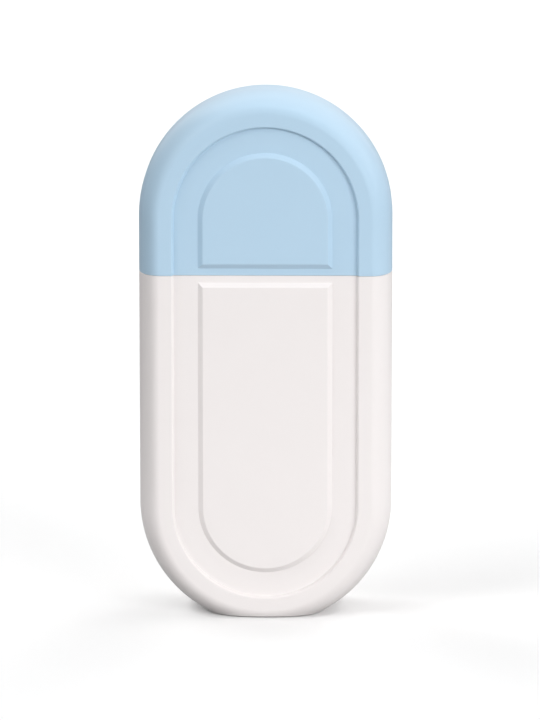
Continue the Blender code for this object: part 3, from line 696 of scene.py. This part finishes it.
# %% [markdown]
# ## Overcap
# The cap is one shell. The form is cut just above the seam, its lower edge gets a small round that
# catches a thin light, the panels are joined to it and the inside is cut out with a plainer form.
# Four low ribs inside the mouth are what the sleeve's wall rubs on when the cap goes on.

# %% Overcap
seam_round = 0.00010
overcap = flat_form("overcap_shell", radius, half_depth, outer_profile)
keep_between(overcap, cap_mouth + seam_round, None)
round_cut(overcap, cap_mouth + seam_round, -1, seam_round, seam_round)
for slab in panel_pair("cap_panel", cap_mouth + panel_margin, None):
    combine(overcap, slab, 'UNION')
hollow = inner_form("cap_hollow", cap_wall)
keep_between(hollow, cap_mouth - 2 * past, None)
combine(overcap, hollow, 'DIFFERENCE')

# %% Ribs inside the overcap's mouth
rib_width = 0.001
rib_height = 0.0060
rib_depth = 0.00018
rib_foot = cap_mouth + 0.001
rib_place = 0.009
inner_depth = half_depth - inner_setback - cap_wall
for side in (-1, 1):
    rib_y = side * (inner_depth - rib_depth + rib_width / 2)
    for across in (-rib_place, rib_place):
        bpy.ops.object.select_all(action='DESELECT')
        bpy.ops.mesh.primitive_cube_add(size=1, scale=(rib_width, rib_width, rib_height),
                                        location=(across, rib_y, rib_foot + rib_height / 2))
        rib = bpy.context.object
        rib.name = "cap_rib"
        bpy.ops.object.transform_apply(location=True, rotation=True, scale=True)
        bpy.ops.object.mode_set(mode='EDIT')
        pick(rib, lambda e: all(abs(v.co.y) < inner_depth for v in e.verts), 'EDGE')
        bpy.ops.mesh.bevel(offset=0.00012, segments=2)
        bpy.ops.object.mode_set(mode='OBJECT')
        combine(overcap, rib, 'UNION')
finish_piece(overcap, "overcap_shell", "overcap", "overcap", cap_plastic, degrees=14)

# %% [markdown]
# ## Screw threads
# The neck carries a thread of about one and a half turns with a pitch of 3.175 mm, the usual finish
# for a small pump. It is a strip with a trapezoid section, swept by a Screw modifier. Where it
# starts and ends it sinks slowly into the wall, as it does in a mould. The closure has the matching
# thread inside, half a pitch lower, so the two lie in each other's gaps.

# %% Thread maker
thread_pitch = 0.003175


def thread(name, root, crest, low_z, turns, root_width=0.0019, crest_width=0.0008, steps=72,
           fade=40):
    """A screw thread from a root to a crest radius, which fades into the wall over some degrees."""
    bpy.ops.object.select_all(action='DESELECT')
    bpy.ops.mesh.primitive_plane_add(size=1, location=(0, 0, 0), rotation=(math.radians(90), 0, 0))
    obj = bpy.context.object
    obj.name = name
    bpy.ops.object.transform_apply(location=True, rotation=True, scale=True)
    bpy.ops.object.mode_set(mode='EDIT')
    bpy.ops.mesh.select_all(action='SELECT')
    bpy.ops.transform.resize(value=(abs(crest - root), 1, root_width), center_override=(0, 0, 0))
    bpy.ops.transform.translate(value=((crest + root) / 2, 0, 0))
    pick(obj, lambda v: abs(v.co.x - crest) < 1e-6, 'VERT')
    bpy.ops.transform.resize(value=(1, 1, crest_width / root_width), center_override=(crest, 0, 0))
    bpy.ops.mesh.select_all(action='SELECT')
    bpy.ops.transform.translate(value=(0, 0, low_z))
    bpy.ops.mesh.delete(type='ONLY_FACE')
    bpy.ops.object.mode_set(mode='OBJECT')
    screw = obj.modifiers.new("screw", 'SCREW')
    screw.angle = 2 * math.pi * turns
    screw.screw_offset = thread_pitch * turns
    screw.steps = screw.render_steps = int(steps * turns)
    screw.use_merge_vertices = False
    apply_modifiers(obj)
    bpy.ops.object.mode_set(mode='EDIT')
    pick(obj, lambda e: e.is_boundary, 'EDGE')
    bpy.ops.mesh.edge_face_add()
    bpy.ops.mesh.select_all(action='SELECT')
    bpy.ops.mesh.normals_make_consistent(inside=False)
    bm = bmesh.from_edit_mesh(obj.data)
    for vert in bm.verts:
        turned = (vert.co.z - low_z) / thread_pitch * 360
        from_end = min(turned, 360 * turns - turned)
        r = math.hypot(vert.co.x, vert.co.y)
        if abs(r - crest) < abs(r - root) and from_end < fade:
            sunk = root + (crest - root) * math.sin(math.pi / 2 * max(from_end, 0) / fade)
            vert.co.x *= sunk / r
            vert.co.y *= sunk / r
    bmesh.update_edit_mesh(obj.data)
    bpy.ops.object.mode_set(mode='OBJECT')
    return obj


print(f"thread pitch {thread_pitch * 1000:.3f} mm")

# %% [markdown]
# ## Bottle
# The lower part of the same form, with a flat deck at the seam, a flat base with a soft edge, and
# the panels. A blow-moulded body is hollow with an even wall, and its neck is part of it: a short
# tube with a rounded lip, the thread, and a bead near its root that holds the sleeve down.

# %% Bottle body
base_round, base_inset = 0.0005, 0.0017
base_thickness, deck_thickness = 0.0018, 0.0016
bottle = flat_form("bottle_shell", radius, half_depth, outer_profile)
keep_between(bottle, base_round, seam - seam_round)
round_cut(bottle, seam - seam_round, 1, seam_round, seam_round)
round_cut(bottle, base_round, -1, base_inset, base_round)
for slab in panel_pair("bottle_panel", None, seam - panel_margin):
    combine(bottle, slab, 'UNION')
hollow = inner_form("bottle_hollow", bottle_wall)
keep_between(hollow, base_thickness, seam - deck_thickness)
combine(bottle, hollow, 'DIFFERENCE')

# %% Neck
neck_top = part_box("bottle")[1].z
neck_radius = 0.0079
neck_bore = 0.0062
neck_root = seam - 0.0008
bead_radius = 0.0085
bead_z = seam + 0.0014
thread_crest = 0.00895
thread_sink = 0.0003
thread_foot = neck_top - 0.0075
neck = lathe("neck", soften([
    (0, neck_top, 0), (neck_radius, neck_top, 0.0005), (neck_radius, bead_z + 0.0009, 0.0002),
    (bead_radius, bead_z + 0.00045, 0.0002), (bead_radius, bead_z, 0.0001),
    (neck_radius, bead_z, 0), (neck_radius, neck_root, 0), (0, neck_root, 0)], 4))
combine(bottle, neck, 'UNION')
combine(bottle, thread("neck_thread", neck_radius - thread_sink, thread_crest, thread_foot, 1.6),
        'UNION')
bore_foot = seam - deck_thickness - past
bore = lathe("bore", soften([
    (0, neck_top + past, 0), (neck_bore + 0.001, neck_top + past, 0),
    (neck_bore + 0.0003, neck_top, 0.0001), (neck_bore, neck_top - 0.0004, 0.0002),
    (neck_bore, bore_foot, 0), (0, bore_foot, 0)]))
combine(bottle, bore, 'DIFFERENCE')
finish_piece(bottle, "bottle_shell", "bottle", "bottle", body_plastic, degrees=14)

# %% [markdown]
# ## Shoulder sleeve
# Under the overcap an oblong ring sits on the deck. Its floor goes round the neck under the bead,
# and its upright wall is what the overcap grips. It has the cap's inner outline, a little smaller.

# %% Shoulder sleeve
sleeve_floor, sleeve_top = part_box("shoulder_sleeve")[0].z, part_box("shoulder_sleeve")[1].z
sleeve_offset = cap_wall + play
sleeve_wall = 0.0012
sleeve_round = 0.0003
sleeve = inner_form("sleeve", sleeve_offset)
keep_between(sleeve, sleeve_floor, sleeve_top - sleeve_round)
round_cut(sleeve, sleeve_top - sleeve_round, 1, sleeve_round, sleeve_round)
hollow = inner_form("sleeve_hollow", sleeve_offset + sleeve_wall)
keep_between(hollow, sleeve_floor + sleeve_wall, sleeve_top + past)
combine(sleeve, hollow, 'DIFFERENCE')
combine(sleeve, rod("sleeve_hole", neck_radius + play, (0, 0, sleeve_floor - past),
                    (0, 0, sleeve_floor + 2 * past), 96), 'DIFFERENCE')
finish_piece(sleeve, "shoulder_sleeve_ring", "bottle", "shoulder_sleeve", body_plastic)

# %% [markdown]
# ## Screw closure
# The closure screws onto the neck and holds the pump down. Its skirt has thirty shallow flutes for
# the fingers, each cut by the same round bar, and its edges are rounded.

# %% Closure
closure_low, closure_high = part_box("closure")
closure_radius = closure_high.x
closure_foot, closure_top = closure_low.z, closure_high.z
closure_inner = closure_radius - 0.00105
chimney_radius = 0.0058
hole = chimney_radius + play
plate_thickness = 0.0012
plate = closure_top - plate_thickness
closure = lathe("closure_ring", soften([
    ((closure_radius + hole) / 2, closure_top, 0), (closure_radius, closure_top, 0.0006),
    (closure_radius, closure_foot, 0.0002), (closure_inner, closure_foot, 0.0003),
    (closure_inner, plate, 0.0003), (hole, plate, 0), (hole, closure_top, 0.0003),
    ((closure_radius + hole) / 2 - 0.0001, closure_top, 0)], 5), 180)

# %% Flutes
flute_count = 30
flute_depth = 0.00022
flute_radius = 0.00076
flute_low, flute_high = closure_foot + 0.0012, closure_top - 0.0014
bpy.ops.object.select_all(action='DESELECT')
bpy.ops.mesh.primitive_cylinder_add(
    vertices=32, radius=flute_radius, depth=flute_high - flute_low,
    location=(closure_radius + flute_radius - flute_depth, 0, (flute_low + flute_high) / 2))
flute = bpy.context.object
flute.name = "flute"
bpy.ops.object.transform_apply(location=True, rotation=True, scale=True)
bpy.ops.object.mode_set(mode='EDIT')
pick(flute, lambda f: abs(f.normal.z) > 0.9)
bpy.ops.mesh.bevel(offset=0.0004, segments=4)
bpy.ops.object.mode_set(mode='OBJECT')
flutes = [flute]
for i in range(1, flute_count):
    copy = flute.copy()
    copy.data = flute.data.copy()
    copy.rotation_euler.z = 2 * math.pi * i / flute_count
    bpy.context.scene.collection.objects.link(copy)
    flutes.append(copy)
take(flute)
for copy in flutes:
    copy.select_set(True)
bpy.ops.object.join()
combine(closure, flute, 'DIFFERENCE')
combine(closure, thread("closure_thread", closure_inner + thread_sink, 0.0081,
                        thread_foot - thread_pitch / 2, 1.5), 'UNION')
finish_piece(closure, "closure_ring", "closure", "closure", pump_plastic)

# %% [markdown]
# ## Turret and actuator
# The turret is the fixed chimney that the stem comes up through. The actuator is the button on top,
# with a dish for the finger and the nozzle in its front. Its skirt slides down over the chimney.

# %% Turret
turret_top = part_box("turret")[1].z
turret_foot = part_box("turret")[0].z
flange_foot = plate - 0.0011
flange_top = plate - snug
flange_radius = 0.0086
chimney_bore = chimney_radius - 0.001
chamber_bore = 0.0035
spigot = chamber_bore - 0.00015
spigot_bore = spigot - 0.0006
stem_guide = 0.0025
turret = lathe("turret_ring", soften([
    (chimney_radius - 0.0005, turret_top, 0), (chimney_radius, turret_top, 0.0003),
    (chimney_radius, flange_top, 0), (flange_radius, flange_top, 0.0002),
    (flange_radius, flange_foot, 0.0002), (spigot, flange_foot, 0), (spigot, turret_foot, 0.0001),
    (spigot_bore, turret_foot, 0.0001), (spigot_bore, plate, 0), (stem_guide, plate, 0.0001),
    (stem_guide, closure_top, 0.0002), (chimney_bore, closure_top, 0.0002),
    (chimney_bore, turret_top, 0.0003), (chimney_radius - 0.0006, turret_top, 0)], 4))
finish_piece(turret, "turret_ring", "pump", "turret", pump_plastic)

# %% Actuator
button_low, button_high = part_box("actuator")
button_radius, button_foot, button_top = button_high.x, button_low.z, button_high.z
block_foot = button_top - 0.0074
stem_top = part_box("pump_stem")[1].z
socket_roof = stem_top + 0.0019
button_bore = button_radius - 0.0013
stem_socket = 0.0023
dish_reach, dish_depth, dish_steps = button_radius - 0.0014, 0.0011, 12
sphere = (dish_reach ** 2 + dish_depth ** 2) / (2 * dish_depth)
dish = []
for i in range(dish_steps + 1):
    r = dish_reach * i / dish_steps
    z = button_top - dish_depth + sphere - math.sqrt(sphere ** 2 - r ** 2)
    dish.append((r, z, 0 if i < dish_steps else 0.0003))
button = lathe("actuator_button", soften(dish + [
    (button_radius, button_top, 0.0011), (button_radius, button_foot, 0.0002),
    (button_bore, button_foot, 0.0002), (button_bore, block_foot, 0.0003),
    (stem_socket, block_foot, 0.0002), (stem_socket, socket_roof, 0), (0, socket_roof, 0)], 6), 128)

# %% Nozzle pocket and way to it
nozzle_low, nozzle_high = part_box("nozzle_insert")
nozzle_z = (nozzle_low.z + nozzle_high.z) / 2
nozzle_radius = (nozzle_high.z - nozzle_low.z) / 2
combine(button, rod("pocket", nozzle_radius + snug, (0, -button_radius - past, nozzle_z),
                    (0, nozzle_high.y + snug, nozzle_z), 64), 'DIFFERENCE')
way_z = socket_roof - 0.0007
combine(button, rod("delivery_way", 0.0006, (0, nozzle_high.y - past, way_z), (0, 0, way_z), 24),
        'DIFFERENCE')
finish_piece(button, "actuator_button", "actuator", "actuator", pump_plastic)

# %% Nozzle insert
front, back_end = nozzle_low.y, nozzle_high.y
length = back_end - front
mouth, mouth_depth = 0.0009, 0.0005
orifice, orifice_end = 0.00022, 0.0009
swirl_chamber = 0.0012
insert = lathe("nozzle_cup", soften([
    (mouth, 0, 0), (nozzle_radius, 0, 0.00015), (nozzle_radius, -length, 0.0001),
    (swirl_chamber, -length, 0), (swirl_chamber, -orifice_end, 0), (orifice, -orifice_end, 0),
    (orifice, -mouth_depth, 0)], 3), 64)
take(insert)
insert.rotation_euler.x = math.radians(90)
insert.location = (0, front, nozzle_z)
bpy.ops.object.transform_apply(location=True, rotation=True, scale=True)
finish_piece(insert, "nozzle_cup", "actuator", "nozzle_insert", natural_plastic)

# %% [markdown]
# ## Inside of the pump
# These pieces show only when the pump is taken apart. The housing is one moulding: a flange, the
# chamber, the cage of the ball with its seat, and a socket for the dip tube. The stem carries the
# piston and stands on the valve pin, and the spring pushes all three up.

# %% Housing
flange_high = flange_foot - snug
housing_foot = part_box("pump_housing")[0].z
housing_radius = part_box("pump_housing")[1].x
chamber_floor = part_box("return_spring")[0].z - snug
cage_floor = chamber_floor - 0.0034
seat_foot = cage_floor - 0.0011
socket_top = seat_foot - 0.001
barrel, cage, socket = 0.0045, 0.0031, 0.0025
cage_bore, cage_lip, inlet_bore, socket_bore = 0.0020, 0.00145, 0.00105, 0.0016
flange_low = flange_high - 0.001
housing = lathe("housing_barrel", soften([
    (0.0062, flange_high, 0), (housing_radius, flange_high, 0.0001),
    (housing_radius, flange_low, 0.0002), (barrel, flange_low, 0),
    (barrel, chamber_floor - 0.001, 0.0005), (cage, chamber_floor - 0.002, 0.0004),
    (cage, seat_foot, 0.0003), (socket, socket_top, 0.0003), (socket, housing_foot, 0.0002),
    (socket_bore, housing_foot, 0.0001), (socket_bore, socket_top, 0), (inlet_bore, socket_top, 0),
    (inlet_bore, seat_foot, 0), (cage_bore, cage_floor, 0), (cage_bore, cage_floor + 0.0024, 0),
    (cage_lip, cage_floor + 0.00265, 0), (cage_lip, cage_floor + 0.0029, 0),
    (cage_bore, chamber_floor, 0), (chamber_bore, chamber_floor, 0),
    (chamber_bore, flange_high, 0.0002), (0.0061, flange_high, 0)], 4))
finish_piece(housing, "housing_barrel", "pump", "pump_housing", natural_plastic)

# %% Gasket
gasket_low, gasket_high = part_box("gasket")
gasket_bore = barrel + snug
gasket_round = 0.00015
gasket = lathe("gasket_ring", soften([
    (0.0066, gasket_high.z, 0), (gasket_high.x, gasket_high.z, gasket_round),
    (gasket_high.x, gasket_low.z, gasket_round), (gasket_bore, gasket_low.z, gasket_round),
    (gasket_bore, gasket_high.z, gasket_round), (0.0065, gasket_high.z, 0)], 3))
finish_piece(gasket, "gasket_ring", "pump", "gasket", seal_foam)

# %% Dip tube
tube_low, tube_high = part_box("dip_tube")
tube_radius, tube_bore = tube_high.x, 0.0009
slant = math.radians(35)
tube = lathe("dip_tube_cut", [(tube_bore, tube_high.z), (tube_radius, tube_high.z),
                              (tube_radius, tube_low.z), (tube_bore, tube_low.z)], 48)
take(tube)
bpy.ops.object.mode_set(mode='EDIT')
bpy.ops.mesh.select_all(action='SELECT')
bpy.ops.mesh.bisect(plane_co=(0, 0, tube_low.z + tube_radius * math.tan(slant)),
                    plane_no=(math.sin(slant), 0, math.cos(slant)), use_fill=True, clear_inner=True)
bpy.ops.object.mode_set(mode='OBJECT')
finish_piece(tube, "dip_tube_cut", "pump", "dip_tube", natural_plastic)

# %% Stem, piston and valve pin
stem_low, stem_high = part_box("pump_stem")
stem_radius, stem_bore = 0.0022, 0.0011
stem = lathe("stem_tube", soften([
    (0.0016, stem_high.z, 0), (stem_radius, stem_high.z, 0.0002),
    (stem_radius, stem_low.z, 0.0001), (stem_bore, stem_low.z, 0.0001),
    (stem_bore, stem_high.z, 0.0001), (0.0015, stem_high.z, 0)], 3), 64)
finish_piece(stem, "stem_tube", "plunger", "pump_stem", natural_plastic)

piston_low, piston_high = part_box("piston")
lip = piston_high.x
waist = lip - 0.0004
piston_bore = stem_radius + snug
lip_edge, waist_edge = 0.00045, 0.0009
piston = lathe("piston_seal", soften([
    (0.0029, piston_high.z, 0), (lip, piston_high.z, 0.00005), (lip, piston_high.z - lip_edge, 0),
    (waist, piston_high.z - waist_edge, 0.0002), (waist, piston_low.z + waist_edge, 0.0002),
    (lip, piston_low.z + lip_edge, 0), (lip, piston_low.z, 0.00005), (piston_bore, piston_low.z, 0),
    (piston_bore, piston_high.z, 0), (0.0028, piston_high.z, 0)], 3), 64)
finish_piece(piston, "piston_seal", "plunger", "piston", seal_plastic)

pin_low, pin_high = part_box("valve_pin")
pin_flange = pin_high.x
pin_shoulder = piston_low.z - snug
pin_collar_foot = pin_shoulder - 0.0011
pin_tip, pin_guide = 0.00085, 0.0017
pin = lathe("pin_turned", soften([
    (0, pin_high.z, 0), (pin_tip, pin_high.z, 0.0004), (pin_tip, pin_shoulder, 0),
    (pin_flange, pin_shoulder, 0.0002), (pin_flange, pin_collar_foot, 0.0002),
    (pin_guide, pin_collar_foot, 0), (pin_guide, pin_low.z, 0.0004), (0, pin_low.z, 0)], 4), 64)
finish_piece(pin, "pin_turned", "plunger", "valve_pin", natural_plastic)

# %% [markdown]
# ## Spring and ball
# The spring is drawn as a curve: open turns in the middle and a closed, flat turn at each end, as
# such springs are coiled. The curve gets a round section and is then made a mesh.

# %% Return spring
spring_low, spring_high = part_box("return_spring")
wire = 0.00025
spring_radius = spring_high.x - wire
turns, points_per_turn = 8, 32
count = turns * points_per_turn + 1
foot, top = spring_low.z + wire, spring_high.z - wire


def coil_height(u):
    """Rise of the coil from 0 to 1: slow over the first and last turn, even between them."""
    closed = 1 / turns
    slow = 0.35
    even = (1 - 2 * closed * slow) / (1 - 2 * closed)
    if u < closed:
        return u * slow
    if u > 1 - closed:
        return 1 - (1 - u) * slow
    return closed * slow + (u - closed) * even


coil = bpy.data.curves.new("spring_wire", 'CURVE')
coil.dimensions = '3D'
coil.bevel_depth = wire
coil.bevel_resolution = 4
coil.use_fill_caps = True
spline = coil.splines.new('POLY')
spline.points.add(count - 1)
for i in range(count):
    a = 2 * math.pi * i / points_per_turn
    z = foot + (top - foot) * coil_height(i / (count - 1))
    spline.points[i].co = (spring_radius * math.cos(a), spring_radius * math.sin(a), z, 1)
spring = bpy.data.objects.new("spring_wire", coil)
bpy.context.scene.collection.objects.link(spring)
take(spring)
bpy.ops.object.convert(target='MESH')
bpy.ops.object.mode_set(mode='EDIT')
bpy.ops.mesh.select_all(action='SELECT')
bpy.ops.mesh.remove_doubles(threshold=0.000002)
bpy.ops.mesh.normals_make_consistent(inside=False)
bpy.ops.object.mode_set(mode='OBJECT')
finish_piece(spring, "spring_wire", "pump", "return_spring", spring_wire)
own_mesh(spring)

# %% Check ball
ball_low, ball_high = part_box("inlet_ball")
bpy.ops.object.select_all(action='DESELECT')
bpy.ops.mesh.primitive_uv_sphere_add(segments=64, ring_count=32,
                                     radius=(ball_high.z - ball_low.z) / 2,
                                     location=(0, 0, (ball_low.z + ball_high.z) / 2))
ball = bpy.context.object
bpy.ops.object.transform_apply(location=True, rotation=True, scale=True)
finish_piece(ball, "check_ball_ground", "check_ball", "inlet_ball", ball_steel)

# %% Update the scene
bpy.context.view_layer.update()
